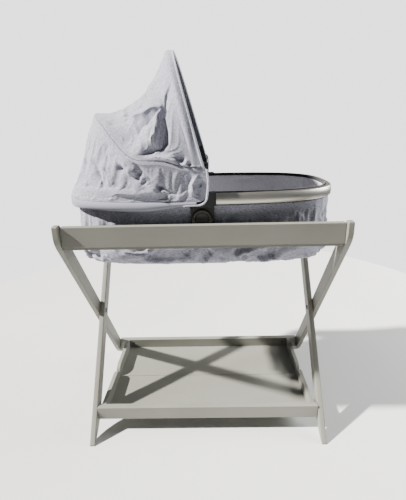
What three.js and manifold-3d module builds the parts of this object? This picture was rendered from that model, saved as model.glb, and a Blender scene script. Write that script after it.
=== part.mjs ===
// Bassinet on a folding X stand: a fabric carrycot with a hood, set between the top rails of a
// painted wooden stand whose lower shelf is a tray in two hinged halves.
// Millimetres. +X to the foot end, -Y to the front, +Z up, origin on the floor under the middle.

import * as THREE from 'three';
import { mergeVertices } from 'three/addons/utils/BufferGeometryUtils.js';
import ManifoldModule from 'manifold-3d';

const manifold = await ManifoldModule();
manifold.setup();

// ---- driving dimensions -------------------------------------------------------------------

const GAP = 0.3; // between pieces that touch
const EDGE = 1.6; // eased edge of the painted boards

const LEG = {
  tilt: THREE.MathUtils.degToRad(30.6), // from vertical
  width: 42,
  thick: 17.5,
  pivotZ: 366,
  outerInside: 400, // inner face of the outer pair
  innerInside: 381, // inner face of the inner pair
  topZ: 776.6,
  topY: 236.7, // front of the upright nose at the top
  floorZ: 2.3,
  toe: 13, // width left at the floor
};
const RAIL = { faceY: 226.6, thick: 18, topZ: 770.6, height: 60 };
const LEDGE = { outerY: 222, innerY: 181.3, topZ: 710.3, height: 8.7, bevel: 1.4 };
const PIVOT = { r: 4, hole: 4.5, headR: 9.5, headH: 6.2, nutR: 8, nutH: 3.2, washer: 6, washerPlay: 0.2 };
const TRAY = {
  pivotY: 178,
  pivotZ: 63,
  boardThick: 18,
  bottomZ: 56.6,
  topZ: 102.2,
  sideOuter: 370,
  sideThick: 15,
  panelTop: 63,
  panelBottom: 57,
  seam: 0.6, // half of the gap at the middle hinge
  notch: 30, // round cut at the top of the side boards, by the hinge
};
const STUD = { r: 3, hole: 3.4, headR: 6, headH: 1.8, reach: 16 };
const SCREW = { x: 338, z: 84, headR: 4.2, rim: 1.2, cone: 3.2, r: 2, depth: 14, sunk: 0.3 };
const THROUGH = { from: -230, to: -160 }; // reach of the cutters for the front bracket's holes
const HINGE = { x: 210, length: 36, r: 3.3, axisZ: 53.1, plate: 22, thick: 1.4 };
const PAD = { width: 12, height: 2 };

const TUB = {
  power: 3.06, // roundness of the plan at the rim
  floorPower: 4.2, // squarer towards the floor
  topA: 407,
  topB: 197,
  topZ: 821,
  slope: 0.156, // inward per height on the long sides
  endSlope: 0.05,
  bottomZ: 618,
  corner: 38,
  wallTop: 12.5,
  wall: 8,
};
const RIM = { a: 415, b: 204.4, topZ: 855.7, height: 33.6, width: 20 };
const BRACKET = { headX: -33, footX: 40, topZ: 858, bottomZ: 748, outY: 208, lowY: 200 };
const BUTTON = { z: 781, r: 20.4, bezelR: 30.5, hole: 21, bezelH: 4.4, frontY: 203.4, backY: 198.7 };
const HUB = { x: 8, z: 888, armY: 190, armThick: 6, armR: 10.5, heel: 14 };
const PIN = { r: 3.6, hole: 4, headR: 6.5, outY: 206.6, insideY: 180.4, overBowArm: 7.2, underBracket: 6.6 };
const BOW = {
  width: 12,
  thick: 3,
  power: 2.3,
  frontAngle: THREE.MathUtils.degToRad(104.8),
  rearAngle: THREE.MathUtils.degToRad(151.2),
  frontReach: 374,
  rearReach: 386,
  frontHalf: 199.6,
  rearHalf: 186.6,
  armLength: 78,
};
const HOOD = {
  half: 212,
  over: 7, // cloth above the bows
  lap: 8,
  seam: 3,
  cloth: 2,
  sag: 50,
  start: 0.14,
  guideIn: 0.992,
  guideUp: 80,
};
const HEM = { outA: 424, outB: 214.6, inA: 419.6, inB: 210.2, topZ: 834.4, bottomZ: 809, frontX: 9 };
const MATTRESS = { a: 368, b: 138, bottomZ: 631.6, height: 40, round: 12 };

const RING_POINTS = 44;

// ---- materials ----------------------------------------------------------------------------

const finish = (color, roughness, metalness = 0) =>
  new THREE.MeshStandardMaterial({ color, roughness, metalness });

const COLOURS = {
  paint: () => finish('#c9c9c2', 0.5),
  steel: () => finish('#4b4d4c', 0.4, 0.9),
  aluminium: () => finish('#ccd0d4', 0.3, 0.9),
  black: () => finish('#131417', 0.5),
  bronze: () => finish('#3b3a36', 0.35, 0.6),
  melange: () => finish('#b9bac3', 0.95),
  lining: () => finish('#8d8f9a', 0.95),
  white: () => finish('#e8e8e6', 0.95),
};

const assembly = new THREE.Group();

function add(name, colour, geometry) {
  const mesh = new THREE.Mesh(geometry, COLOURS[colour]());
  mesh.name = name;
  assembly.add(mesh);
  return mesh;
}

// ---- shape tools --------------------------------------------------------------------------

const vec = (x, y, z) => new THREE.Vector3(x, y, z);
const SIDEWAYS = new THREE.Matrix4().makeBasis(vec(0, 1, 0), vec(0, 0, 1), vec(1, 0, 0));
const FORWARD = new THREE.Matrix4().makeBasis(vec(1, 0, 0), vec(0, 0, 1), vec(0, -1, 0));

function outline(points) {
  return new THREE.Shape(points.map(([u, v]) => new THREE.Vector2(u, v)));
}

function drilled(shape, holes, r) {
  for (const [u, v] of holes) {
    shape.holes.push(new THREE.Path().absarc(u, v, r, 0, Math.PI * 2, true));
  }
  return shape;
}

function extrude(shape, depth, edge) {
  return new THREE.ExtrudeGeometry(shape, {
    depth: depth - 2 * edge,
    bevelEnabled: edge > 0,
    bevelThickness: edge,
    bevelSize: edge,
    bevelOffset: -edge,
    bevelSegments: 1,
    curveSegments: 9,
  });
}

// A (y, z) outline carried along X from x0 to x1.
function alongX(shape, x0, x1, edge = 0) {
  return extrude(shape, x1 - x0, edge).applyMatrix4(SIDEWAYS).translate(x0 + edge, 0, 0);
}

// An (x, z) outline carried along Y from y0 to y1.
function alongY(shape, y0, y1, edge = 0) {
  return extrude(shape, y1 - y0, edge).applyMatrix4(FORWARD).translate(0, y1 - edge, 0);
}

function block(x0, x1, y0, y1, z0, z1) {
  return new THREE.BoxGeometry(x1 - x0, y1 - y0, z1 - z0).translate(
    (x0 + x1) / 2,
    (y0 + y1) / 2,
    (z0 + z1) / 2,
  );
}

// A turned solid on an axis along X, from [radius, x] pairs.
function turnedX(profile, y, z) {
  const points = profile.map(([r, x]) => new THREE.Vector2(r, x));
  return new THREE.LatheGeometry(points, 18).rotateZ(-Math.PI / 2).translate(0, y, z);
}

// A turned solid on an axis along Y, from [radius, y] pairs.
function turnedY(profile, x, z) {
  const points = profile.map(([r, y]) => new THREE.Vector2(r, y));
  return new THREE.LatheGeometry(points, 22).translate(x, 0, z);
}

// The closed profile of a ring with a rectangular section.
function ring(innerR, outerR, from, to) {
  return [[innerR, from], [outerR, from], [outerR, to], [innerR, to], [innerR, from]];
}

function geometryFrom(points, triangles) {
  const geometry = new THREE.BufferGeometry();
  const numbers = points.flatMap((p) => [p.x, p.y, p.z]);
  geometry.setAttribute('position', new THREE.Float32BufferAttribute(numbers, 3));
  geometry.setIndex(signedVolume(points, triangles) < 0 ? flipped(triangles) : triangles.flat());
  geometry.computeVertexNormals();
  return geometry;
}

function signedVolume(points, triangles) {
  const cross = new THREE.Vector3();
  let sum = 0;
  for (const [a, b, c] of triangles) {
    sum += points[a].dot(cross.crossVectors(points[b], points[c]));
  }
  return sum / 6;
}

const flipped = (triangles) => triangles.flatMap(([a, b, c]) => [a, c, b]);

// A skin over rings of equal count, closed at both ends unless the rings run in a loop.
function loft(rings, looped = false) {
  const n = rings[0].length;
  const points = rings.flat();
  const triangles = [];
  const last = looped ? rings.length : rings.length - 1;
  for (let r = 0; r < last; r += 1) {
    const here = r * n;
    const next = ((r + 1) % rings.length) * n;
    for (let k = 0; k < n; k += 1) {
      const l = (k + 1) % n;
      triangles.push([here + k, here + l, next + l], [here + k, next + l, next + k]);
    }
  }
  if (!looped) {
    capEnd(points, triangles, 0, n, true);
    capEnd(points, triangles, (rings.length - 1) * n, n, false);
  }
  return geometryFrom(points, triangles);
}

function capEnd(points, triangles, start, n, atStart) {
  const centre = new THREE.Vector3();
  for (let k = 0; k < n; k += 1) {
    centre.addScaledVector(points[start + k], 1 / n);
  }
  const hub = points.push(centre) - 1;
  for (let k = 0; k < n; k += 1) {
    const l = (k + 1) % n;
    triangles.push(atStart ? [hub, start + l, start + k] : [hub, start + k, start + l]);
  }
}

// A thin closed skin between two equal grids of points.
function shell(outer, inner) {
  const rings = outer.map((row, r) => [...row, ...inner[r].slice().reverse()]);
  return loftFlat(rings, outer[0].length);
}

function loftFlat(rings, half) {
  const n = rings[0].length;
  const points = rings.flat();
  const triangles = [];
  for (let r = 0; r + 1 < rings.length; r += 1) {
    for (let k = 0; k < n; k += 1) {
      const l = (k + 1) % n;
      const here = r * n;
      const next = here + n;
      triangles.push([here + k, here + l, next + l], [here + k, next + l, next + k]);
    }
  }
  for (const [start, atStart] of [[0, true], [(rings.length - 1) * n, false]]) {
    for (let k = 0; k + 1 < half; k += 1) {
      const quad = [start + k, start + k + 1, start + n - 2 - k, start + n - 1 - k];
      const [a, b, c, d] = atStart ? quad.reverse() : quad;
      triangles.push([a, b, c], [a, c, d]);
    }
  }
  return geometryFrom(points, triangles);
}

// The grid moved inwards along its own normals.
function inwards(grid, distance, towards) {
  return grid.map((row, r) =>
    row.map((p, k) => {
      const across = grid[Math.min(r + 1, grid.length - 1)][k].clone().sub(grid[Math.max(r - 1, 0)][k]);
      const along = row[Math.min(k + 1, row.length - 1)].clone().sub(row[Math.max(k - 1, 0)]);
      const normal = across.cross(along).normalize();
      if (normal.dot(towards.clone().sub(p)) < 0) {
        normal.negate();
      }
      return p.clone().addScaledVector(normal, distance);
    }),
  );
}

function toManifold(geometry) {
  const bare = new THREE.BufferGeometry();
  bare.setAttribute('position', geometry.getAttribute('position'));
  bare.setIndex(geometry.getIndex());
  const merged = mergeVertices(bare, 1e-4);
  const mesh = new manifold.Mesh({
    numProp: 3,
    vertProperties: new Float32Array(merged.getAttribute('position').array),
    triVerts: new Uint32Array(merged.getIndex().array),
  });
  return new manifold.Manifold(mesh);
}

function fromManifold(solid) {
  const mesh = solid.getMesh();
  const geometry = new THREE.BufferGeometry();
  geometry.setAttribute('position', new THREE.BufferAttribute(mesh.vertProperties, 3));
  geometry.setIndex(new THREE.BufferAttribute(mesh.triVerts, 1));
  const faceted = geometry.toNonIndexed();
  faceted.computeVertexNormals();
  return faceted;
}

function cut(geometry, tools) {
  return fromManifold(tools.reduce((solid, tool) => solid.subtract(toManifold(tool)), toManifold(geometry)));
}

function joined(pieces) {
  return fromManifold(pieces.map(toManifold).reduce((solid, piece) => solid.add(piece)));
}

// ---- plan curves --------------------------------------------------------------------------

function planPoint(a, b, angle, power = TUB.power) {
  const c = Math.cos(angle);
  const s = Math.sin(angle);
  const x = a * Math.sign(c) * Math.abs(c) ** (2 / power);
  const y = b * Math.sign(s) * Math.abs(s) ** (2 / power);
  return vec(x, y, 0);
}

function planRing(a, b, z, count = RING_POINTS, power = TUB.power) {
  const dense = Array.from({ length: 240 }, (_, i) => planPoint(a, b, (i / 240) * Math.PI * 2, power));
  const curve = new THREE.CatmullRomCurve3(dense, true);
  return curve.getSpacedPoints(count).slice(0, count).map((p) => vec(p.x, p.y, z));
}

// The plan curve from the front side to the back, round the foot end (+1) or the head end (-1).
function planArc(a, b, fromX, end, count) {
  const limit = Math.acos(Math.min(1, Math.max(0, (end * fromX) / a)) ** (TUB.power / 2));
  const over = end * fromX < 0 ? overshoot(a, -end * fromX) : 0;
  const reach = limit + over;
  const dense = Array.from({ length: 200 }, (_, i) => {
    const angle = -reach + (2 * reach * i) / 199;
    const p = planPoint(a, b, angle);
    return vec(end * p.x, p.y, 0);
  });
  return new THREE.CatmullRomCurve3(dense).getSpacedPoints(count);
}

const overshoot = (a, x) => Math.asin((x / a) ** (TUB.power / 2));

// ---- stand: legs and rails ----------------------------------------------------------------

// One leg in the (y, z) plane, leaning from the top front to the bottom back.
function legShape() {
  const s = Math.sin(LEG.tilt);
  const c = Math.cos(LEG.tilt);
  const half = LEG.width / 2;
  const upperEdge = (z) => [half * c - ((z - LEG.pivotZ - half * s) / c) * s, z];
  const lowerEdge = (z) => [-half * c - ((z - LEG.pivotZ + half * s) / c) * s, z];
  const noseZ = LEG.pivotZ - half * s + ((LEG.topY - half * c) / s) * c;
  const shape = new THREE.Shape();
  const [heelY] = upperEdge(LEG.floorZ);
  shape.moveTo(heelY, LEG.floorZ);
  shape.lineTo(...upperEdge(LEG.topZ));
  shape.lineTo(-LEG.topY + 5, LEG.topZ);
  shape.quadraticCurveTo(-LEG.topY, LEG.topZ, -LEG.topY, LEG.topZ - 6);
  shape.lineTo(-LEG.topY, noseZ + 22);
  shape.quadraticCurveTo(-LEG.topY, noseZ, ...lowerEdge(noseZ - 22));
  const ankle = lowerEdge(LEG.floorZ + 78);
  shape.lineTo(...ankle);
  shape.quadraticCurveTo(...lowerEdge(LEG.floorZ + 26), heelY - LEG.toe, LEG.floorZ);
  return drilled(drilled(shape, [[0, LEG.pivotZ]], PIVOT.hole), [[TRAY.pivotY, TRAY.pivotZ]], STUD.hole);
}

function addLegs() {
  for (const [side, sign] of [['left', -1], ['right', 1]]) {
    const outer = [LEG.outerInside, LEG.outerInside + LEG.thick].map((x) => x * sign).sort((p, q) => p - q);
    const inner = [LEG.innerInside, LEG.innerInside + LEG.thick].map((x) => x * sign).sort((p, q) => p - q);
    add(`leg_outer_${side}`, 'paint', alongX(legShape(), ...outer, EDGE));
    const mirrored = alongX(legShape(), -inner[1], -inner[0], EDGE).rotateZ(Math.PI);
    add(`leg_inner_${side}`, 'paint', mirrored);
  }
}

function rectangle(y0, y1, z0, z1) {
  return outline([[y0, z0], [y1, z0], [y1, z1], [y0, z1]]);
}

// Rail, and the lath under it that the carrycot's tapered sides rest on. The back pair is the front one
// turned round.
function addRails() {
  const rail = rectangle(-RAIL.faceY, -RAIL.faceY + RAIL.thick, RAIL.topZ - RAIL.height, RAIL.topZ);
  const bottom = LEDGE.topZ - LEDGE.height;
  const lath = outline([
    [-LEDGE.outerY, bottom],
    [-LEDGE.innerY + LEDGE.bevel, bottom],
    [-LEDGE.innerY, LEDGE.topZ],
    [-LEDGE.outerY, LEDGE.topZ],
  ]);
  const wide = LEG.outerInside - GAP;
  const narrow = LEG.innerInside - GAP;
  add('rail_front', 'paint', alongX(rail, -wide, wide, EDGE));
  add('ledge_front', 'paint', alongX(lath, -wide, wide));
  add('rail_back', 'paint', alongX(rail, -narrow, narrow, EDGE).rotateZ(Math.PI));
  add('ledge_back', 'paint', alongX(lath, -narrow, narrow).rotateZ(Math.PI));
}

// Pieces on an X axis are made for the right side and turned round for the left.
function addPair(name, colour, make, y, z) {
  add(`${name}_right`, colour, make().translate(0, y, z));
  add(`${name}_left`, colour, make().rotateZ(Math.PI).translate(0, y, z));
}

function addPivots() {
  const face = LEG.outerInside + LEG.thick;
  const inside = LEG.innerInside - GAP;
  const bolt = () =>
    turnedX(
      [
        [0, inside + 0.6],
        [PIVOT.r, inside + 0.6],
        [PIVOT.r, face + GAP],
        [PIVOT.headR, face + GAP],
        [PIVOT.headR, face + 2.5],
        [PIVOT.headR * 0.7, face + PIVOT.headH],
        [0, face + 6.5],
      ],
      0,
      0,
    );
  const nutTip = inside - PIVOT.nutH;
  const nut = () =>
    turnedX(
      [
        [0, nutTip],
        [PIVOT.nutR - 1, nutTip],
        [PIVOT.nutR, nutTip + 1],
        [PIVOT.nutR, inside],
        [0, inside],
      ],
      0,
      0,
    );
  const washer = () =>
    turnedX(
      ring(
        PIVOT.hole,
        PIVOT.hole + PIVOT.washer,
        LEG.innerInside + LEG.thick + PIVOT.washerPlay,
        LEG.outerInside - PIVOT.washerPlay,
      ),
      0,
      0,
    );
  addPair('pivot_bolt', 'steel', bolt, 0, LEG.pivotZ);
  addPair('pivot_nut', 'steel', nut, 0, LEG.pivotZ);
  addPair('pivot_washer', 'steel', washer, 0, LEG.pivotZ);
}

function studProfile(face, tip) {
  const head = face + GAP;
  const end = head + STUD.headH;
  return [[0, tip], [STUD.r, tip], [STUD.r, head], [STUD.headR, head], [STUD.headR - 1, end], [0, end]];
}

function addTrayStuds() {
  const innerFace = LEG.innerInside + LEG.thick;
  const outerFace = LEG.outerInside + LEG.thick;
  const front = () => turnedX(studProfile(innerFace, LEG.innerInside - STUD.reach), 0, 0);
  const back = () => turnedX(studProfile(outerFace, LEG.outerInside + GAP), 0, 0);
  addPair('tray_stud_front', 'steel', front, -TRAY.pivotY, TRAY.pivotZ);
  addPair('tray_stud_back', 'steel', back, TRAY.pivotY, TRAY.pivotZ);
}

function addPads() {
  const s = Math.tan(LEG.tilt);
  const heel = LEG.width / 2 / Math.cos(LEG.tilt) + (LEG.pivotZ - LEG.floorZ) * s;
  const y = heel - LEG.toe / 2;
  const pad = (x, sign) => {
    const half = (LEG.thick - 2 * EDGE) / 2;
    const mid = sign * y;
    return block(x - half, x + half, mid - PAD.width / 2, mid + PAD.width / 2, 0, PAD.height);
  };
  for (const [side, sign] of [['left', -1], ['right', 1]]) {
    add(`foot_pad_outer_${side}`, 'black', pad(sign * (LEG.outerInside + LEG.thick / 2), 1));
    add(`foot_pad_inner_${side}`, 'black', pad(sign * (LEG.innerInside + LEG.thick / 2), -1));
  }
}

// ---- tray ---------------------------------------------------------------------------------

// The front half is described; the back half is the same, turned round and with a wider end board.
function trayEndBoard(half) {
  const outerY = -TRAY.pivotY - TRAY.boardThick / 2;
  const board = rectangle(outerY, outerY + TRAY.boardThick, TRAY.bottomZ, TRAY.topZ);
  return alongX(board, -half, half, EDGE);
}

function traySide(sign) {
  const startY = -TRAY.pivotY + TRAY.boardThick / 2 + GAP;
  const endY = -TRAY.seam;
  const shape = new THREE.Shape();
  shape.moveTo(startY, TRAY.bottomZ);
  shape.lineTo(endY, TRAY.bottomZ);
  shape.lineTo(endY, TRAY.topZ - TRAY.notch);
  shape.absarc(endY - TRAY.notch, TRAY.topZ - TRAY.notch, TRAY.notch, 0, Math.PI / 2, false);
  shape.lineTo(startY, TRAY.topZ);
  const x = [sign * (TRAY.sideOuter - TRAY.sideThick), sign * TRAY.sideOuter].sort((p, q) => p - q);
  return alongX(shape, ...x, 1);
}

function trayPanel() {
  const x = TRAY.sideOuter - TRAY.sideThick - GAP;
  const y = -TRAY.pivotY + TRAY.boardThick / 2 + GAP;
  return block(-x, x, y, -TRAY.seam, TRAY.panelBottom, TRAY.panelTop);
}

// A hinge leaf under the panel: plate, and its knuckles on the hinge axis.
function hingeLeaf(x, knuckles) {
  const top = TRAY.panelBottom - GAP;
  const near = -HINGE.r - 0.8;
  const parts = [block(x - HINGE.length / 2, x + HINGE.length / 2, near - HINGE.plate, near, top - HINGE.thick, top)];
  for (const [from, to] of knuckles) {
    const knuckle = turnedX([[0, x + from], [HINGE.r, x + from], [HINGE.r, x + to], [0, x + to]], 0, HINGE.axisZ);
    parts.push(knuckle, block(x + from, x + to, near - 1, 0, top - HINGE.thick, top - 0.3));
  }
  return joined(parts);
}

function trayPin(half) {
  const sockets = [-1, 1].map((sign) => {
    const tip = half - STUD.reach - 1;
    const profile = [[0, tip], [STUD.hole, tip], [STUD.hole, half + 1], [0, half + 1]];
    const socket = turnedX(profile, 0, 0);
    return (sign > 0 ? socket : socket.rotateZ(Math.PI)).translate(0, -TRAY.pivotY, TRAY.pivotZ);
  });
  return sockets;
}

// A countersunk screw in the back board's inner face; grown makes the hole that it sits in.
function screw(x, grown) {
  const face = TRAY.pivotY - TRAY.boardThick / 2 + SCREW.sunk;
  const top = face - 2 * grown;
  const tip = face + SCREW.depth + grown;
  const profile = [
    [0, top],
    [SCREW.headR + grown, top],
    [SCREW.headR + grown, face + SCREW.rim],
    [SCREW.r + grown, face + SCREW.cone],
    [SCREW.r + grown, tip],
    [0, tip],
  ];
  return turnedY(profile, x, SCREW.z);
}

function addTray() {
  const narrow = LEG.innerInside - 0.8;
  const wide = LEG.outerInside - 0.8;
  const third = HINGE.length / 3;
  const middle = [[-third / 2 + 0.2, third / 2 - 0.2]];
  const ends = [[-HINGE.length / 2, -third / 2 - 0.2], [third / 2 + 0.2, HINGE.length / 2]];
  add('tray_board_front', 'paint', cut(trayEndBoard(narrow), trayPin(narrow)));
  const backBoard = trayEndBoard(wide).rotateZ(Math.PI);
  add('tray_board_back', 'paint', cut(backBoard, [screw(-SCREW.x, GAP), screw(SCREW.x, GAP)]));
  add('tray_panel_front', 'paint', trayPanel());
  add('tray_panel_back', 'paint', trayPanel().rotateZ(Math.PI));
  for (const [side, sign] of [['left', -1], ['right', 1]]) {
    add(`tray_side_front_${side}`, 'paint', traySide(sign));
    add(`tray_side_back_${side}`, 'paint', traySide(-sign).rotateZ(Math.PI));
    add(`tray_hinge_front_${side}`, 'steel', hingeLeaf(sign * HINGE.x, middle));
    add(`tray_hinge_back_${side}`, 'steel', hingeLeaf(-sign * HINGE.x, ends).rotateZ(Math.PI));
    add(`tray_screw_${side}`, 'steel', screw(sign * SCREW.x, 0));
  }
}

// ---- carrycot -----------------------------------------------------------------------------

const tubHalf = (z) => TUB.topB - TUB.slope * (TUB.topZ - z);
const tubLength = (z) => TUB.topA - TUB.endSlope * (TUB.topZ - z);
const tubPower = (z) => {
  const share = (TUB.topZ - z) / (TUB.topZ - TUB.bottomZ);
  return TUB.power + (TUB.floorPower - TUB.power) * share;
};

// Rings down one side of the tub's wall, with the rounded corner to the floor.
function tubRings(inset, floorZ, corner, fromZ, insetTop) {
  const rings = [];
  const straight = 4;
  const bend = 5;
  const cornerZ = floorZ + corner;
  for (let i = 0; i <= straight; i += 1) {
    const t = i / straight;
    const z = fromZ + (cornerZ - fromZ) * t;
    const d = insetTop + (inset - insetTop) * t;
    rings.push(planRing(tubLength(z) - d, tubHalf(z) - d, z, RING_POINTS, tubPower(z)));
  }
  for (let i = 1; i <= bend; i += 1) {
    const angle = (i / bend) * (Math.PI / 2);
    const z = cornerZ - corner * Math.sin(angle);
    const d = inset + corner * (1 - Math.cos(angle));
    const [a, b] = [tubLength(cornerZ) - d, tubHalf(cornerZ) - d];
    rings.push(planRing(a, b, z, RING_POINTS, tubPower(cornerZ)));
  }
  return rings;
}

function tubShell() {
  const outside = tubRings(0, TUB.bottomZ, TUB.corner, TUB.topZ, 0).reverse();
  const inside = tubRings(TUB.wall, TUB.bottomZ + TUB.wall, TUB.corner - 4, TUB.topZ, TUB.wallTop);
  return loft([...outside, ...inside]);
}

function tubLining() {
  const play = 3;
  const cloth = 2;
  const floor = TUB.bottomZ + TUB.wall + play;
  const wall = TUB.wall + play;
  const top = RIM.topZ - 9.5;
  const clear = TUB.wallTop + 0.5;
  const collar = (d) => planRing(TUB.topA - d, TUB.topB - d, top);
  const outside = tubRings(wall, floor, TUB.corner - 5, TUB.topZ, clear).reverse();
  const inside = tubRings(wall + cloth, floor + cloth, TUB.corner - 6, TUB.topZ, clear + cloth);
  return loft([...outside, collar(clear), collar(clear + cloth), ...inside]);
}

function mattress() {
  const { a, b, bottomZ, height, round } = MATTRESS;
  const levels = [[round, 0], [3, 3], [0, round], [0, height - round], [3, height - 3], [round, height]];
  return loft(levels.map(([d, h]) => planRing(a - d, b - d, bottomZ + h)));
}

// A bar of the given (outward, up) section carried along a level curve.
function bar(path, section) {
  const up = vec(0, 0, 1);
  return path.map((p, i) => {
    const ahead = path[Math.min(i + 1, path.length - 1)];
    const behind = path[Math.max(i - 1, 0)];
    const out = ahead.clone().sub(behind).normalize().cross(up);
    if (out.dot(p) < 0) {
      out.negate();
    }
    return section.map(([u, v]) => p.clone().addScaledVector(out, u).addScaledVector(up, v));
  });
}

function roundedSection(width, height, count = 12) {
  const power = 2.6;
  return Array.from({ length: count }, (_, i) => {
    const p = planPoint(width / 2, height / 2, (i / count) * Math.PI * 2, power);
    return [p.x, p.y];
  });
}

function rimTube(fromX, end) {
  const mid = RIM.width / 2;
  const level = RIM.topZ - RIM.height / 2;
  const path = planArc(RIM.a - mid, RIM.b - mid, fromX, end, 28).map((p) => p.setZ(level));
  for (const tip of [path[0], path[path.length - 1]]) {
    tip.x = fromX;
  }
  return loft(bar(path, roundedSection(RIM.width, RIM.height)));
}

function rimPiping() {
  const outset = RIM.width + 0.4;
  const thick = 2.6;
  const bottom = RIM.topZ - 9;
  const top = RIM.topZ + 1.5;
  const section = [[thick, bottom], [thick, top - 1], [thick / 2, top], [0, top - 1], [0, bottom]];
  const rings = section.map(([d, z]) => planRing(RIM.a - outset - d, RIM.b - outset - d, z, 64));
  return loft(rings, true);
}

// The moulded bracket at mid length: it joins the two rim tubes, carries the hood's hinge on its
// upright arm, and holds the release button below. Drawn for the front side.
function bracket() {
  const { outY, lowY, topZ, bottomZ, headX, footX } = BRACKET;
  const inner = RIM.b - RIM.width - 0.3;
  const clear = 0.7;
  const section = outline([
    [-inner, topZ],
    [-outY, topZ],
    [-outY, TUB.topZ - 4],
    [-lowY, TUB.topZ - 9],
    [-lowY, bottomZ],
    [-tubHalf(bottomZ) - clear, bottomZ],
    [-TUB.topB - clear, TUB.topZ + clear],
    [-inner, TUB.topZ + clear],
  ]);
  const hook = alongX(section, headX, footX - 5);
  const lug = block(footX - 6, footX, -outY, -inner, TUB.topZ + clear, topZ);
  const arm = new THREE.Shape();
  arm.moveTo(HUB.x - HUB.heel, topZ - 6);
  arm.lineTo(HUB.x + HUB.armR, topZ - 6);
  arm.lineTo(HUB.x + HUB.armR, HUB.z);
  arm.absarc(HUB.x, HUB.z, HUB.armR, 0, Math.PI, false);
  const upright = alongY(arm, -HUB.armY - HUB.armThick, -HUB.armY);
  const drill = (r, x, z) => turnedY([[0, THROUGH.from], [r, THROUGH.from], [r, THROUGH.to], [0, THROUGH.to]], x, z);
  const holes = [drill(BUTTON.hole, 0, BUTTON.z), drill(PIN.hole, HUB.x, HUB.z)];
  return cut(joined([hook, lug, upright]), holes);
}

function bezel() {
  const face = -BRACKET.lowY - GAP;
  const out = face - BUTTON.bezelH;
  const round = BUTTON.bezelH * 0.45;
  const profile = [
    [BUTTON.hole, face],
    [BUTTON.hole, out + round],
    [BUTTON.hole + round * 0.4, out + round * 0.3],
    [BUTTON.hole + round, out],
    [BUTTON.bezelR - 2 * round, out],
    [BUTTON.bezelR - round * 0.6, out + round * 0.5],
    [BUTTON.bezelR, out + 2 * round],
    [BUTTON.bezelR, face],
    [BUTTON.hole, face],
  ];
  return turnedY(profile, 0, BUTTON.z);
}

function releaseButton() {
  const { r, frontY, backY } = BUTTON;
  const dish = 1;
  const profile = [
    [0, -frontY + dish],
    [r - 7, -frontY + dish],
    [r - 4, -frontY],
    [r - 1, -frontY],
    [r, -frontY + 1],
    [r, -backY],
    [0, -backY],
  ];
  return turnedY(profile, 0, BUTTON.z);
}

// A pin with a head outside the bow arm and one inside the bracket.
function hubPin() {
  const { r, headR, outY, insideY } = PIN;
  const armOut = -HUB.armY - HUB.armThick - PIN.overBowArm;
  const armIn = -HUB.armY + PIN.underBracket;
  const profile = [
    [0, -outY],
    [headR - 1, -outY],
    [headR, armOut],
    [r, armOut],
    [r, armIn],
    [headR, armIn],
    [headR, -insideY],
    [0, -insideY],
  ];
  return turnedY(profile, HUB.x, HUB.z);
}

function addCarrycot() {
  add('carrycot_shell', 'melange', tubShell());
  add('carrycot_lining', 'lining', tubLining());
  add('mattress', 'white', mattress());
  add('rim_tube_foot', 'aluminium', rimTube(BRACKET.footX + 0.4, 1));
  add('rim_tube_head', 'black', rimTube(BRACKET.headX - 0.4, -1));
  add('rim_piping', 'black', rimPiping());
  const sides = [['near', (g) => g], ['far', (g) => mirroredY(g)]];
  for (const [side, place] of sides) {
    add(`bracket_${side}`, 'black', place(bracket()));
    add(`button_bezel_${side}`, 'bronze', place(bezel()));
    add(`release_button_${side}`, 'black', place(releaseButton()));
    add(`hub_pin_${side}`, 'bronze', place(hubPin()));
    add(`bow_arm_${side}`, 'black', place(bowArm()));
  }
}

function mirroredY(geometry) {
  const flat = geometry.index ? geometry.toNonIndexed() : geometry;
  flat.scale(1, -1, 1);
  const position = flat.getAttribute('position');
  for (let i = 0; i < position.count; i += 3) {
    const hold = vec(position.getX(i), position.getY(i), position.getZ(i));
    position.setXYZ(i, position.getX(i + 1), position.getY(i + 1), position.getZ(i + 1));
    position.setXYZ(i + 1, hold.x, hold.y, hold.z);
  }
  flat.deleteAttribute('normal');
  flat.computeVertexNormals();
  return flat;
}

// ---- hood ---------------------------------------------------------------------------------

// A point on an arch over the carrycot: turn runs 0 to PI from the front side over to the back.
function archPoint(angle, half, reach, turn) {
  const c = Math.cos(turn);
  const s = Math.sin(turn);
  const y = -half * Math.sign(c) * Math.abs(c) ** (2 / BOW.power);
  const out = reach * Math.abs(s) ** (2 / BOW.power);
  return vec(HUB.x + out * Math.cos(angle), y, HUB.z + out * Math.sin(angle));
}

function archCurve(angle, half, reach, start, count) {
  const dense = Array.from({ length: 160 }, (_, i) =>
    archPoint(angle, half, reach, start + ((Math.PI - 2 * start) * i) / 159),
  );
  return new THREE.CatmullRomCurve3(dense).getSpacedPoints(count);
}

const foreOf = (angle) => vec(Math.sin(angle), 0, -Math.cos(angle));

function startTurn(reach, distance) {
  return Math.asin((distance / reach) ** (BOW.power / 2));
}

function bow(angle, half, reach, fromDistance) {
  const path = archCurve(angle, half, reach, startTurn(reach, fromDistance), 26);
  const fore = foreOf(angle);
  const rings = path.map((p, i) => {
    const along = path[Math.min(i + 1, 26)].clone().sub(path[Math.max(i - 1, 0)]).normalize();
    const out = along.cross(fore).normalize();
    const corner = (u, v) =>
      p.clone().addScaledVector(fore, (u * BOW.width) / 2).addScaledVector(out, (v * BOW.thick) / 2);
    return [corner(-1, -1), corner(1, -1), corner(1, 1), corner(-1, 1)];
  });
  return loft(rings);
}

// A flat arm on the hinge pin, from the axis out to the given length along the bow.
function armPlate(angle, length, y0, y1) {
  const shape = new THREE.Shape();
  const r = HUB.armR - 1;
  shape.absarc(0, 0, r, Math.PI / 2, (3 * Math.PI) / 2, false);
  shape.lineTo(length, -r + 2);
  shape.lineTo(length, r - 2);
  drilled(shape, [[0, 0]], PIN.hole);
  return alongY(shape, y0, y1).rotateY(-angle).translate(HUB.x, 0, HUB.z);
}

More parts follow.
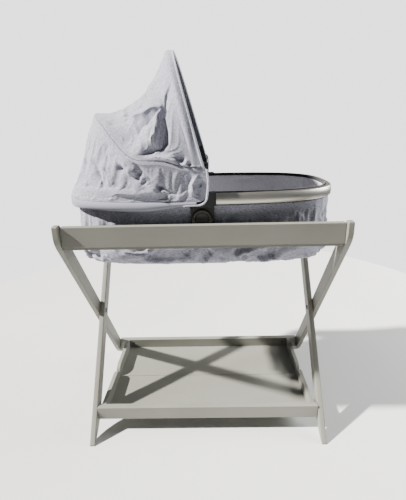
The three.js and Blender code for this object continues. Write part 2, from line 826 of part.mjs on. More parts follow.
function bowArm() {
  const y = -HUB.armY - HUB.armThick - 0.4;
  return armPlate(BOW.frontAngle, BOW.armLength - 1, y - 6, y);
}

function rearBow() {
  const start = 30;
  const y = -HUB.armY + 0.4;
  const plate = armPlate(BOW.rearAngle, start + 2, y, y + 5.4);
  const hoop = bow(BOW.rearAngle, BOW.rearHalf, BOW.rearReach, start);
  return joined([hoop, plate, mirroredY(plate.clone())]);
}

// The cloth's line over a bow, moved forward of the bow's plane by the given distance.
function hoodEdge(angle, reach, count, forward) {
  const shift = foreOf(angle).multiplyScalar(forward);
  return archCurve(angle, HOOD.half, reach + HOOD.over, HOOD.start, count).map((p) => p.add(shift));
}

// The cloth over the front bow and on to the rear one, sagging towards the middle of the span.
function frontPanelGrid() {
  const across = 26;
  const steps = 9;
  const lip = hoodEdge(BOW.frontAngle, BOW.frontReach, across, HOOD.lap);
  const front = hoodEdge(BOW.frontAngle, BOW.frontReach, across, -HOOD.lap);
  const rear = hoodEdge(BOW.rearAngle, BOW.rearReach, across, HOOD.lap + HOOD.seam);
  return front.map((p, i) => {
    const crown = Math.sin((i / across) * Math.PI) ** 2;
    const span = Array.from({ length: steps + 1 }, (_, k) => {
      const t = k / steps;
      const point = p.clone().lerp(rear[i], t);
      point.z -= HOOD.sag * crown * Math.sin(t * Math.PI) * (1 - 0.45 * t);
      return point;
    });
    return [lip[i], ...span];
  });
}

// The cloth over the rear bow and down to the hem, which it meets almost upright outside the rim.
function rearPanelGrid() {
  const across = 26;
  const steps = 8;
  const lip = hoodEdge(BOW.rearAngle, BOW.rearReach, across, HOOD.lap);
  const rear = hoodEdge(BOW.rearAngle, BOW.rearReach, across, -HOOD.lap);
  const hem = planArc(HEM.outA - 1.4, HEM.outB - 1.4, HEM.frontX, -1, across);
  return rear.map((p, i) => {
    const low = hem[i].clone().setZ(HEM.topZ + GAP);
    const lift = HOOD.guideUp * riseShare(i / across);
    const guide = vec(low.x * HOOD.guideIn, low.y * HOOD.guideIn, HEM.topZ + lift);
    const curve = new THREE.QuadraticBezierCurve3(p, guide, low);
    return [lip[i], ...curve.getPoints(steps)];
  });
}

const riseShare = (t) => 0.3 + 0.7 * Math.sin(t * Math.PI);

function hoodCloth(grid) {
  return shell(grid, inwards(grid, HOOD.cloth, vec(-150, 0, 900)));
}

function hem() {
  const across = 34;
  const wall = (a, b) => planArc(a, b, HEM.frontX, -1, across);
  const outer = wall(HEM.outA, HEM.outB);
  const inner = wall(HEM.inA, HEM.inB);
  const rings = outer.map((p, i) => {
    const q = inner[i];
    const at = (point, z) => point.clone().setZ(z);
    return [at(p, HEM.bottomZ + 1), at(p, HEM.topZ - 1), at(q, HEM.topZ), at(q, HEM.bottomZ)];
  });
  return loft(rings);
}

function addHood() {
  add('canopy_bow_front', 'steel', bow(BOW.frontAngle, BOW.frontHalf, BOW.frontReach, BOW.armLength));
  add('canopy_bow_rear', 'steel', rearBow());
  add('canopy_panel_front', 'melange', hoodCloth(frontPanelGrid()));
  add('canopy_panel_rear', 'melange', hoodCloth(rearPanelGrid()));
  add('canopy_hem', 'melange', hem());
}

addLegs();
addRails();
addPivots();
addTrayStuds();
addPads();
addTray();
addCarrycot();
addHood();

export default assembly;
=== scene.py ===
"""Bassinet on a folding X stand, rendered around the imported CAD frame. Metres, +Z up, -Y to the front."""

import math

import bmesh
import bpy
import numpy as np
from mathutils import Matrix, Vector, noise


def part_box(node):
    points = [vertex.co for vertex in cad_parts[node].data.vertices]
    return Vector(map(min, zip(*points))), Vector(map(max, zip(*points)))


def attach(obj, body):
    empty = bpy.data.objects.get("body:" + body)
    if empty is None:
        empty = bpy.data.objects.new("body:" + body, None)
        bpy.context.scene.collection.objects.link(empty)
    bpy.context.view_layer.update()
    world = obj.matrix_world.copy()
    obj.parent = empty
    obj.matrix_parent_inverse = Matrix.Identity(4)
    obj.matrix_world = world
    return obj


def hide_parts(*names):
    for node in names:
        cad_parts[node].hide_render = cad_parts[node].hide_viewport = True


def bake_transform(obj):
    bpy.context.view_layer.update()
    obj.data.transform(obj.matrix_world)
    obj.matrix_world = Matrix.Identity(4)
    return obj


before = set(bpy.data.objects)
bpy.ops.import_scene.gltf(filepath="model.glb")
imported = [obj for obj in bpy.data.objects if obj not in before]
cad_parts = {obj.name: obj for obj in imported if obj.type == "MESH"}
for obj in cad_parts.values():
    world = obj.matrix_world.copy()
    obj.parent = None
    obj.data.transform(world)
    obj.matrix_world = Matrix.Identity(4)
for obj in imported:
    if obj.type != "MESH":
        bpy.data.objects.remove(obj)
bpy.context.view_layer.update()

# ---- driving values ------------------------------------------------------------------------

PLAN_POWER = 3.06  # roundness of the carrycot's plan at the rim
FLOOR_POWER = 4.2  # squarer towards its floor
ARCH_POWER = 2.3  # roundness of the hood's bows
FRONT_ANGLE = math.radians(104.8)  # front bow, from +X towards +Z
REAR_ANGLE = math.radians(151.2)
FRONT_REACH = 0.381  # hub to the cloth's line over the bow
REAR_REACH = 0.393
HOOD_HALF = 0.212
HOOD_SAG = 0.066
SEAM_DROP = 0.050  # how far the ridge seam hangs below the rear bow at the sides
SEAM_FLARE = 2.0  # its spread there, per metre of drop
CLOTH = 0.0016
HEM_CHANNELS = 3
LAP = 0.009  # half width of the sleeve that a bow runs in
SLEEVE = 0.024  # front bow's sleeve, from the edge back
EDGE_ROLL = 0.007  # the edge's turn inwards
FIXED_EDGE = 0.0155  # x of the hood's fixed front edge, between the hub and the hem
CORNER = 0.026  # its rounded lower corner

TUB_SLOPE = 0.156
TUB_END_SLOPE = 0.05
TUB_CORNER = 0.038
TUB_SKIN = 0.0022


def middle(node):
    low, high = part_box(node)
    return (low + high) / 2


HUB = middle("hub_pin_near")
SHELL_LOW, SHELL_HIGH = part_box("carrycot_shell")
LINING_LOW, LINING_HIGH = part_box("carrycot_lining")
HEM_LOW, HEM_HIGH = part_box("canopy_hem")
PAD_LOW, PAD_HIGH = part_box("mattress")
RIM_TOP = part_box("rim_tube_foot")[1].z


# ---- numeric helpers -----------------------------------------------------------------------


def smoothstep(value, low, high):
    t = np.clip((value - low) / (high - low), 0, 1)
    return t * t * (3 - 2 * t)


def bump(value, centre, width):
    return np.exp(-(((value - centre) / width) ** 2))


def respaced(points, count, share=None):
    """Points at equal distances along a polyline, or at the given shares of its length."""
    points = np.asarray(points, float)
    lengths = np.r_[0, np.cumsum(np.linalg.norm(np.diff(points, axis=0), axis=1))]
    wanted = (np.linspace(0, 1, count) if share is None else share) * lengths[-1]
    return np.column_stack([np.interp(wanted, lengths, points[:, k]) for k in range(3)])


def grid_normals(grid, looped=False):
    """Unit normals of a grid of points, which may close on itself along its columns."""
    if looped:
        across = np.roll(grid, -1, 1) - np.roll(grid, 1, 1)
    else:
        across = np.gradient(grid, axis=1)
    along = np.gradient(grid, axis=0)
    normals = np.cross(across, along)
    length = np.linalg.norm(normals, axis=2, keepdims=True)
    return normals / np.maximum(length, 1e-12)


def outward_normals(grid, inside, looped=False):
    normals = grid_normals(grid, looped)
    facing = ((grid - np.array(inside)) * normals).sum()
    return normals if facing > 0 else -normals


def cloth_lengths(grid):
    """Distances along the cloth from its first row and column, in metres."""
    across = np.linalg.norm(np.diff(grid, axis=1), axis=2)
    along = np.linalg.norm(np.diff(grid, axis=0), axis=2)
    s = np.pad(np.cumsum(across, axis=1), ((0, 0), (1, 0)))
    t = np.pad(np.cumsum(along, axis=0), ((1, 0), (0, 0)))
    middle_column = s.shape[1] // 2
    s = s - s[:, middle_column : middle_column + 1]
    return s, t


def creased(s, t, seed, size, stretch=1.0, sharp=2.0):
    """Soft ridges between flat patches, as in loosely held cloth: 0 to 1 over cloth coordinates."""
    flat_s, flat_t = s.ravel() / size, t.ravel() / (size * stretch)
    out = np.empty(flat_s.size)
    for i, (a, b) in enumerate(zip(flat_s, flat_t)):
        warp = noise.noise_vector(Vector((a * 0.6, b * 0.6, seed + 9.0)))
        value = noise.noise(Vector((a + 0.9 * warp.x, b + 0.9 * warp.y, seed)))
        out[i] = max(0.0, 1 - 2.4 * abs(value))
    return (out**sharp).reshape(s.shape)


def billows(s, t, seed, size):
    """Slow rounded swelling, about -1 to 1."""
    values = [noise.noise(Vector((a / size, b / size, seed))) for a, b in zip(s.ravel(), t.ravel())]
    return np.array(values).reshape(s.shape) * 1.6


def finer(grid, looped=False):
    """The grid with new points half way between the old ones, on smooth curves through them."""
    for axis in (0, 1):
        rows = np.moveaxis(grid, axis, 0)
        if looped and axis == 1:
            wide = np.concatenate([rows[-1:], rows, rows[:2]])
        else:
            wide = np.concatenate([2 * rows[:1] - rows[1:2], rows, 2 * rows[-1:] - rows[-2:-1]])
        middles = (9 * (wide[1:-2] + wide[2:-1]) - wide[:-3] - wide[3:]) / 16
        denser = np.empty((len(rows) + len(middles), *rows.shape[1:]))
        denser[0::2] = rows
        denser[1::2] = middles
        grid = np.moveaxis(denser, 0, axis)
    return grid


def crease(x, z, points, depth, left, right, fade=0.25):
    """A sharp valley along a line in the side view, or a ridge where its depth is negative. Its two
    flanks, left and right of the line's run, reach so far, and it dies out at both ends."""
    nearest = np.full(x.shape, np.inf)
    side, along = np.zeros(x.shape), np.zeros(x.shape)
    done = 0.0
    for start, end in zip(points[:-1], points[1:]):
        length = math.dist(start, end)
        run = ((end[0] - start[0]) / length, (end[1] - start[1]) / length)
        dx, dz = x - start[0], z - start[1]
        forward = np.clip(dx * run[0] + dz * run[1], 0, length)
        far = np.hypot(dx - forward * run[0], dz - forward * run[1])
        closer = far < nearest
        nearest = np.where(closer, far, nearest)
        side = np.where(closer, run[0] * dz - run[1] * dx, side)
        along = np.where(closer, done + forward, along)
        done += length
    share = along / done
    ends = smoothstep(share, 0, fade) * (1 - smoothstep(share, 1 - fade, 1))
    return -depth * ends * np.exp(-nearest / np.where(side > 0, left, right))


def crumpled(s, t, seed, size, stretch=1.0):
    """Flat facets that meet in sharp ridges, as in crushed cloth: 0 on the ridges, down to -1."""
    values = []
    for a, b in zip(s.ravel() / size, t.ravel() / (size * stretch)):
        warp = noise.noise_vector(Vector((a * 0.5, b * 0.5, seed + 4.0)))
        values.append(-abs(noise.noise(Vector((a + 1.2 * warp.x, b + 1.2 * warp.y, seed)))))
    return np.array(values).reshape(s.shape) * 1.8


# ---- mesh helpers --------------------------------------------------------------------------


def new_object(name, points, faces, uvs=None):
    mesh = bpy.data.meshes.new(name)
    mesh.from_pydata([tuple(p) for p in points], [], faces)
    if uvs is not None:
        layer = mesh.uv_layers.new(name="UVMap")
        loops = np.empty(len(mesh.loops), int)
        mesh.loops.foreach_get("vertex_index", loops)
        layer.data.foreach_set("uv", np.asarray(uvs)[loops].ravel())
    mesh.polygons.foreach_set("use_smooth", [True] * len(mesh.polygons))
    obj = bpy.data.objects.new(name, mesh)
    bpy.context.scene.collection.objects.link(obj)
    return obj


def settle(obj):
    """Turns the object's modifiers into its mesh."""
    bpy.context.view_layer.update()
    evaluated = obj.evaluated_get(bpy.context.evaluated_depsgraph_get())
    mesh = bpy.data.meshes.new_from_object(evaluated)
    obj.modifiers.clear()
    obj.data = mesh
    return obj


def grid_faces(rows, columns, looped=False):
    faces = []
    last = columns if looped else columns - 1
    for r in range(rows - 1):
        for c in range(last):
            d = (c + 1) % columns
            faces.append((r * columns + c, r * columns + d, (r + 1) * columns + d, (r + 1) * columns + c))
    return faces


def sheet_object(name, grid, inside, thickness, looped=False, floor_at=None):
    """A closed sheet from a grid of points on its outer face, thickened inwards."""
    rows, columns = grid.shape[:2]
    s, t = cloth_lengths(grid)
    points = grid.reshape(-1, 3)
    uvs = np.column_stack([s.ravel(), t.ravel()])
    faces = grid_faces(rows, columns, looped)
    if floor_at is not None:
        points = np.vstack([points, [floor_at]])
        uvs = np.vstack([uvs, [[0, t.max() + 0.2]]])
        first = (rows - 1) * columns
        faces += [(first + c, first + (c + 1) % columns, len(points) - 1) for c in range(columns)]
    obj = new_object(name, points, faces, uvs)
    face_outwards(obj, inside)
    solid = obj.modifiers.new("thickness", "SOLIDIFY")
    solid.thickness = thickness
    solid.offset = -1
    solid.use_even_offset = False
    return settle(obj)


def face_outwards(obj, inside):
    work = bmesh.new()
    work.from_mesh(obj.data)
    bmesh.ops.recalc_face_normals(work, faces=work.faces)
    inside = Vector(inside)
    facing = sum(f.normal.dot(f.calc_center_median() - inside) * f.calc_area() for f in work.faces)
    if facing < 0:
        bmesh.ops.reverse_faces(work, faces=work.faces)
    work.to_mesh(obj.data)
    work.free()


def swept(name, path, section, up=None, heights=None):
    """A closed bar of the given (out, up) section along a path. Where heights are given, the
    section's up values are shares of them."""
    path = np.asarray(path, float)
    heights = np.ones(len(path)) if heights is None else heights
    tangents = np.gradient(path, axis=0)
    tangents /= np.linalg.norm(tangents, axis=1, keepdims=True)
    ups = np.tile([0.0, 0.0, 1.0], (len(path), 1)) if up is None else np.asarray(up, float)
    outs = np.cross(tangents, ups)
    outs /= np.linalg.norm(outs, axis=1, keepdims=True)
    ups = np.cross(outs, tangents)
    rings = [p + np.outer([u for u, _ in section], o) + np.outer([v * h for _, v in section], w)
             for p, o, w, h in zip(path, outs, ups, heights)]
    count = len(section)
    faces = []
    for r in range(len(path) - 1):
        for k in range(count):
            n = (k + 1) % count
            faces.append((r * count + k, r * count + n, (r + 1) * count + n, (r + 1) * count + k))
    faces.append(tuple(range(count))[::-1])
    faces.append(tuple((len(path) - 1) * count + k for k in range(count)))
    obj = new_object(name, np.vstack(rings), faces)
    work = bmesh.new()
    work.from_mesh(obj.data)
    bmesh.ops.recalc_face_normals(work, faces=work.faces)
    work.to_mesh(obj.data)
    work.free()
    return obj


def round_section(radius, count=8, squeeze=1.0):
    turns = np.linspace(0, 2 * math.pi, count, endpoint=False)
    return [(radius * math.cos(a), radius * squeeze * math.sin(a)) for a in turns]


def stitches(name, path, normals, pitch=0.0062, length=0.0044, radius=0.00055):
    """A row of thread stitches lying on a path, each a short bar with rounded ends."""
    path, normals = np.asarray(path, float), np.asarray(normals, float)
    total = np.linalg.norm(np.diff(path, axis=0), axis=1).sum()
    count = int(total / pitch)
    share = (np.arange(count) + 0.5) / count
    lengths = np.r_[0, np.cumsum(np.linalg.norm(np.diff(path, axis=0), axis=1))]
    at = np.column_stack([np.interp(share * lengths[-1], lengths, path[:, k]) for k in range(3)])
    up = np.column_stack([np.interp(share * lengths[-1], lengths, normals[:, k]) for k in range(3)])
    run = np.gradient(at, axis=0)
    run /= np.linalg.norm(run, axis=1, keepdims=True)
    side = np.cross(run, up)
    side /= np.linalg.norm(side, axis=1, keepdims=True)
    points, faces = [], []
    stations = [(-0.5, 0.35, -0.2), (-0.3, 1.0, 0.35), (0.3, 1.0, 0.35), (0.5, 0.35, -0.2)]
    for p, r, n, o in zip(at, run, up, side):
        base = len(points)
        for where, grow, lift in stations:
            for k in range(5):
                a = 2 * math.pi * k / 5
                offset = o * math.cos(a) + n * (math.sin(a) * 0.8 + lift)
                points.append(p + r * where * length + offset * radius * grow)
        for ring in range(3):
            for k in range(5):
                i, j = base + ring * 5 + k, base + ring * 5 + (k + 1) % 5
                faces.append((i, j, j + 5, i + 5))
        faces.append(tuple(base + k for k in range(5))[::-1])
        faces.append(tuple(base + 15 + k for k in range(5)))
    return new_object(name, points, faces)


# ---- materials -----------------------------------------------------------------------------


class Shader:
    """A material whose nodes are added one line at a time."""

    def __init__(self, name, **constants):
        self.material = bpy.data.materials.new(name)
        self.material.use_nodes = True
        self.tree = self.material.node_tree
        self.surface = self.tree.nodes["Principled BSDF"]
        self.fill(self.surface, {key.replace("_", " "): value for key, value in constants.items()})

    def fill(self, node, values):
        for key, value in values.items():
            socket = node.inputs[key]
            if isinstance(value, bpy.types.NodeSocket):
                self.tree.links.new(value, socket)
            else:
                socket.default_value = value

    def node(self, kind, values=None, **settings):
        node = self.tree.nodes.new("ShaderNode" + kind)
        for key, value in settings.items():
            setattr(node, key, value)
        self.fill(node, values or {})
        return node

    def place(self, scale=(1, 1, 1), turn=(0, 0, 0), uv=False):
        source = self.node("TexCoord").outputs["UV" if uv else "Object"]
        return self.node("Mapping", {"Vector": source, "Scale": scale, "Rotation": turn}).outputs[0]

    def noise(self, vector, scale, detail=3.0, rough=0.5):
        values = {"Vector": vector, "Scale": scale, "Detail": detail, "Roughness": rough}
        return self.node("TexNoise", values).outputs["Fac"]

    def math(self, operation, *values):
        node = self.node("Math", operation=operation)
        for k, value in enumerate(values):
            self.fill_at(node, k, value)
        return node.outputs[0]

    def fill_at(self, node, index, value):
        if isinstance(value, bpy.types.NodeSocket):
            self.tree.links.new(value, node.inputs[index])
        else:
            node.inputs[index].default_value = value

    def ramp(self, value, *stops):
        node = self.node("ValToRGB", {"Fac": value})
        elements = node.color_ramp.elements
        while len(elements) < len(stops):
            elements.new(0.5)
        for element, (position, colour) in zip(elements, stops):
            element.position = position
            element.color = (*colour, 1)
        return node.outputs[0]

    def mix(self, share, a, b, blend="MIX"):
        node = self.node("Mix", data_type="RGBA", blend_type=blend)
        for index, value in ((0, share), (6, a), (7, b)):
            if isinstance(value, tuple) and len(value) == 3:
                value = (*value, 1)
            self.fill_at(node, index, value)
        return node.outputs[2]

    def relief(self, height, distance, strength=1.0, below=None):
        values = {"Height": height, "Distance": distance, "Strength": strength}
        if below is not None:
            values["Normal"] = below
        return self.node("Bump", values).outputs[0]

    def finish(self, **sockets):
        self.fill(self.surface, {key.replace("_", " "): value for key, value in sockets.items()})
        return self.material


def rgb(red, green, blue):
    """A linear colour from the usual 0 to 255 values."""
    return tuple(((v / 255 + 0.055) / 1.055) ** 2.4 if v > 10 else v / 3294 for v in (red, green, blue))


def painted_wood(name, turn=(0, 0, 0), stretch=(0.06, 1, 1)):
    """Brushed-on paint over planed boards: faint grain and brush marks along the board, worn edges."""
    shader = Shader(name, Roughness=0.5, IOR=1.46)
    along = shader.place(stretch, turn)
    grain = shader.noise(along, 170, 5, 0.6)
    brush = shader.noise(along, 620, 2, 0.5)
    patches = shader.noise(shader.place(), 5, 3)
    base = shader.ramp(patches, (0.3, rgb(112, 112, 103)), (0.7, rgb(122, 122, 113)))
    streaked = shader.mix(shader.math("MULTIPLY", grain, 0.22), base, rgb(94, 92, 84))
    soft = shader.node("Bevel", {"Radius": 0.0022}, samples=4).outputs[0]
    flat = shader.node("NewGeometry").outputs["Normal"]
    level = shader.node("VectorMath", {0: soft, 1: flat}, operation="DOT_PRODUCT").outputs["Value"]
    edge = shader.node("MapRange", {"Value": level, "From Min": 0.995, "From Max": 0.86}).outputs[0]
    rubbed = shader.math("MULTIPLY", edge, shader.noise(shader.place(), 60, 4))
    colour = shader.mix(shader.math("MULTIPLY", rubbed, 0.55), streaked, rgb(158, 156, 146))
    marks = shader.math("ADD", shader.math("MULTIPLY", grain, 0.7), shader.math("MULTIPLY", brush, 0.3))
    gloss = shader.node("MapRange", {"Value": brush, "To Min": 0.42, "To Max": 0.62}).outputs[0]
    return shader.finish(Base_Color=colour, Roughness=gloss, Normal=shader.relief(marks, 0.0005, 0.5, soft))


def woven(name, light, dark, fleck, uv=True, pitch=1500, relief=0.00035, sheen=0.25, rough=0.92):
    """Melange cloth: crossing threads of two tones with flecks along them."""
    shader = Shader(name, Sheen_Weight=sheen, Sheen_Roughness=0.5, Specular_IOR_Level=0.25)
    warp = shader.noise(shader.place((pitch, pitch / 7, pitch), uv=uv), 1, 1)
    weft = shader.noise(shader.place((pitch / 7, pitch, pitch / 7), uv=uv), 1, 1)
    threads = shader.math("MAXIMUM", warp, weft)
    tone = shader.ramp(threads, (0.42, dark), (0.66, light))
    slub = shader.ramp(shader.noise(shader.place((110, 420, 110), uv=uv), 1, 3), (0.42, (0, 0, 0)), (0.62, (1, 1, 1)))
    flecked = shader.mix(shader.math("MULTIPLY", slub, 0.55), tone, fleck)
    clouds = shader.noise(shader.place((9, 9, 9), uv=uv), 1, 2)
    shade = shader.ramp(clouds, (0.3, (0.9, 0.9, 0.91)), (0.7, (1, 1, 1)))
    colour = shader.mix(1.0, flecked, shade, "MULTIPLY")
    return shader.finish(Base_Color=colour, Roughness=rough, Normal=shader.relief(threads, relief, 0.8))


def moulded(name, colour, rough, grain=0.00012, size=900):
    """Textured black plastic or rubber, a little dusty in random patches."""
    shader = Shader(name, IOR=1.5)
    fine = shader.noise(shader.place(), size, 3)
    dust = shader.noise(shader.place(), 40, 4)
    tint = shader.mix(shader.math("MULTIPLY", dust, 0.25), colour, tuple(c * 2.2 + 0.01 for c in colour))
    gloss = shader.node("MapRange", {"Value": fine, "To Min": rough - 0.08, "To Max": rough + 0.12}).outputs[0]
    return shader.finish(Base_Color=tint, Roughness=gloss, Normal=shader.relief(fine, grain, 0.6))


def metal(name, colour, rough, stretch=(1, 1, 1), size=400, metallic=1.0, relief=0.00006):
    """Drawn or plated metal, with fine marks along the given direction."""
    shader = Shader(name, Metallic=metallic)
    lines = shader.noise(shader.place(stretch), size, 3)
    smears = shader.noise(shader.place(), 14, 3)
    tint = shader.mix(shader.math("MULTIPLY", smears, 0.3), colour, tuple(c * 0.82 for c in colour))
    gloss = shader.node("MapRange", {"Value": lines, "To Min": rough - 0.06, "To Max": rough + 0.1}).outputs[0]
    return shader.finish(Base_Color=tint, Roughness=gloss, Normal=shader.relief(lines, relief, 0.5))


LEAN = math.radians(30.6)
CLOTH_LIGHT, CLOTH_DARK, CLOTH_FLECK = rgb(190, 190, 202), rgb(112, 113, 128), rgb(88, 89, 104)
MATERIALS = {
    "board": painted_wood("painted_board"),
    "leg_outer": painted_wood("painted_leg_outer", (LEAN, 0, 0), (1, 1, 0.06)),
    "leg_inner": painted_wood("painted_leg_inner", (-LEAN, 0, 0), (1, 1, 0.06)),
    "side": painted_wood("painted_side", (0, 0, 0), (1, 0.06, 1)),
    "melange": woven("melange_cloth", CLOTH_LIGHT, CLOTH_DARK, CLOTH_FLECK),
    "lining": woven("lining_cloth", rgb(232, 230, 234), rgb(204, 202, 207), rgb(190, 189, 194), pitch=2100),
    "jersey": woven("mattress_cloth", rgb(238, 238, 236), rgb(214, 214, 212), rgb(225, 225, 222), uv=False,
                    pitch=1300, relief=0.0003),
    "binding": woven("binding_tape", rgb(196, 197, 206), rgb(156, 157, 168), rgb(140, 141, 152), uv=False,
                     pitch=2400),
    "thread": woven("sewing_thread", rgb(214, 215, 222), rgb(180, 181, 190), rgb(170, 171, 180), uv=False,
                    pitch=5000, relief=0.0001),
    "aluminium": metal("satin_aluminium", rgb(182, 179, 170), 0.4, (0.05, 1, 1), 900),
    "steel": metal("zinc_plate", rgb(96, 97, 98), 0.42),
    "spring": metal("spring_strip", rgb(120, 122, 126), 0.35),
    "bronze": metal("dark_ring", rgb(74, 72, 66), 0.3, metallic=0.85),
    "coated": metal("black_coat", rgb(30, 31, 33), 0.38, metallic=0.6),
    "plastic": moulded("black_moulding", rgb(24, 24, 26), 0.48),
    "rubber": moulded("foot_felt", rgb(40, 40, 41), 0.8, 0.0003, 500),
    "tape": woven("black_tape", rgb(34, 34, 37), rgb(18, 18, 20), rgb(26, 26, 28), uv=False, pitch=2400),
}

NODE_FINISHES = (
    ("leg_outer", "leg_outer"),
    ("leg_inner", "leg_inner"),
    ("tray_side", "side"),
    ("rail_", "board"),
    ("ledge_", "board"),
    ("tray_board", "board"),
    ("tray_panel", "board"),
    ("foot_pad", "rubber"),
    ("rim_tube_foot", "aluminium"),
    ("rim_tube_head", "coated"),
    ("rim_piping", "tape"),
    ("bracket_", "plastic"),
    ("release_button", "plastic"),
    ("bow_arm", "plastic"),
    ("button_bezel", "bronze"),
    ("hub_pin", "bronze"),
    ("canopy_bow", "spring"),
    ("", "steel"),
)


def paint(obj, finish):
    obj.data.materials.clear()
    obj.data.materials.append(MATERIALS[finish])
    return obj


def rounded_shading(sharp_from=math.radians(38)):
    """A node group that shades a mesh smoothly, with its sharp edges kept."""
    group = bpy.data.node_groups.new("rounded_shading", "GeometryNodeTree")
    group.interface.new_socket("Geometry", in_out="INPUT", socket_type="NodeSocketGeometry")
    group.interface.new_socket("Geometry", in_out="OUTPUT", socket_type="NodeSocketGeometry")
    entry, leave = group.nodes.new("NodeGroupInput"), group.nodes.new("NodeGroupOutput")
    faces = group.nodes.new("GeometryNodeSetShadeSmooth")
    edges = group.nodes.new("GeometryNodeSetShadeSmooth")
    edges.domain = "EDGE"
    edges.inputs["Shade Smooth"].default_value = False
    angle = group.nodes.new("GeometryNodeInputMeshEdgeAngle")
    steep = group.nodes.new("FunctionNodeCompare")
    steep.inputs[1].default_value = sharp_from
    group.links.new(angle.outputs[0], steep.inputs[0])
    group.links.new(steep.outputs[0], edges.inputs["Selection"])
    plain = group.nodes.new("GeometryNodeRemoveAttribute")
    plain.inputs["Name"].default_value = "custom_normal"
    joined = group.nodes.new("GeometryNodeMergeByDistance")
    joined.inputs["Distance"].default_value = 1e-5
    group.links.new(entry.outputs[0], plain.inputs[0])
    group.links.new(plain.outputs[0], joined.inputs[0])
    group.links.new(joined.outputs[0], faces.inputs[0])
    group.links.new(faces.outputs[0], edges.inputs[0])
    group.links.new(edges.outputs[0], leave.inputs[0])
    return group


def paint_cad_nodes():
    shading = rounded_shading()
    for name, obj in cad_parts.items():
        finish = next(f for prefix, f in NODE_FINISHES if name.startswith(prefix))
        paint(obj, finish)
        obj.modifiers.new("shading", "NODES").node_group = shading


# ---- carrycot ------------------------------------------------------------------------------


def plan_ring(a, b, z, count, power=PLAN_POWER):
    """Equally spaced points on the carrycot's plan curve."""
    turns = np.linspace(0, 2 * math.pi, 1441)
    c, s = np.cos(turns), np.sin(turns)
    x = a * np.sign(c) * np.abs(c) ** (2 / power)
    y = b * np.sign(s) * np.abs(s) ** (2 / power)
    ring = respaced(np.column_stack([x, y, np.full_like(x, z)]), count + 1)
    return ring[:-1]


def tub_rings(top_z, floor_z, corner, inset, rows, columns):
    """Rings down the tub's side and round its lower corner, then in towards the middle."""
    top_a, top_b = SHELL_HIGH.x - inset, SHELL_HIGH.y - inset
    side = [(z, 0.0) for z in np.linspace(top_z, floor_z + corner, rows)]
    turns = np.linspace(0, math.pi / 2, 9)[1:]
    bend = [(floor_z + corner * (1 - math.sin(a)), corner * (1 - math.cos(a))) for a in turns]
    rings = []
    for z, d in side + bend:
        level = max(z, floor_z + corner)
        drop = SHELL_HIGH.z - level
        power = PLAN_POWER + (FLOOR_POWER - PLAN_POWER) * drop / (SHELL_HIGH.z - SHELL_LOW.z)
        a, b = top_a - TUB_END_SLOPE * drop - d, top_b - TUB_SLOPE * drop - d
        rings.append(plan_ring(a, b, z, columns, power))
    last = rings[-1]
    for share in (0.86, 0.7, 0.5, 0.28, 0.1):
        rings.append(last * [share, share, 1])
    return np.array(rings)


def tub_cover():
    """The carrycot's outer cloth: smooth under the rim, slack and creased towards the floor."""
    columns = 460
    grid = tub_rings(SHELL_HIGH.z, SHELL_LOW.z, TUB_CORNER, 0.0009, 44, columns)
    s, t = cloth_lengths(grid)
    x, y, z = grid[..., 0], grid[..., 1], grid[..., 2]
    s_along = np.arctan2(y, x * 0.5) * 0.36
    loose = smoothstep(z, 0.80, 0.70)
    rails = bump(z, SHELL_LOW.z + 0.092, 0.02)
    swell = 0.003 * billows(s_along, t, 3.1, 0.09)
    creases = 0.009 * creased(s_along, t, 5.7, 0.07, 0.9, 1.3) - 0.003
    fine = 0.003 * creased(s_along + 0.5 * t, t, 8.2, 0.032, 1.6, 1.3)
    near_bracket = (np.abs(x) < 0.055) & (z > 0.735)
    lifted = (swell + creases + fine) * (0.18 + 0.82 * loose)
    lifted = np.where(lifted > 0, lifted * (1 - 0.9 * rails), lifted)
    lifted = np.where(near_bracket, np.minimum(lifted, 0) * 0.5, lifted)
    lifted *= smoothstep(z, SHELL_LOW.z + 0.001, SHELL_LOW.z + 0.022)
    seam = -0.0016 * bump(z, SHELL_LOW.z + TUB_CORNER * 0.42, 0.003)
    start = grid
    grid = grid + outward_normals(grid, (0, 0, 0.72), True) * (lifted + seam)[..., None]
    tight = np.maximum(np.maximum(smoothstep(z, 0.77, 0.815), 0.98 * near_bracket), bump(z, SHELL_LOW.z, 0.012))
    grid = draped(grid, tight, 0.05, 0.008, looped=True, gravity=0.4, stiffness=1)
    limit = np.where(near_bracket, 0.0002, 0.0009 + 0.006 * (1 - rails))
    grid = kept_between(grid, start, outward_normals(start, (0, 0, 0.72), True), -0.0065, limit)
    low = smoothstep(z, SHELL_LOW.z + 0.085, SHELL_LOW.z + 0.055) * smoothstep(z, SHELL_LOW.z + 0.003, SHELL_LOW.z + 0.032)
    crushed = 0.036 * crumpled(s_along, t, 2.2, 0.07, 0.9) + 0.015 * crumpled(s_along, t, 6.1, 0.035) + 0.016
    right = smoothstep(x, 0.05, 0.10) * smoothstep(z, 0.80, 0.77) * ~near_bracket * (1 - low)
    crushed = crushed * low + right * (0.009 * crumpled(s_along, t, 3.6, 0.04))
    out = outward_normals(start, (0, 0, 0.72), True)
    grid = kept_between(grid + out * crushed[..., None], start, out, -0.0075, np.maximum(limit, 0.009 * low))
    obj = sheet_object("carrycot_cover", grid, (0, 0, 0.72), TUB_SKIN, True, (0, 0, SHELL_LOW.z))
    return obj, grid


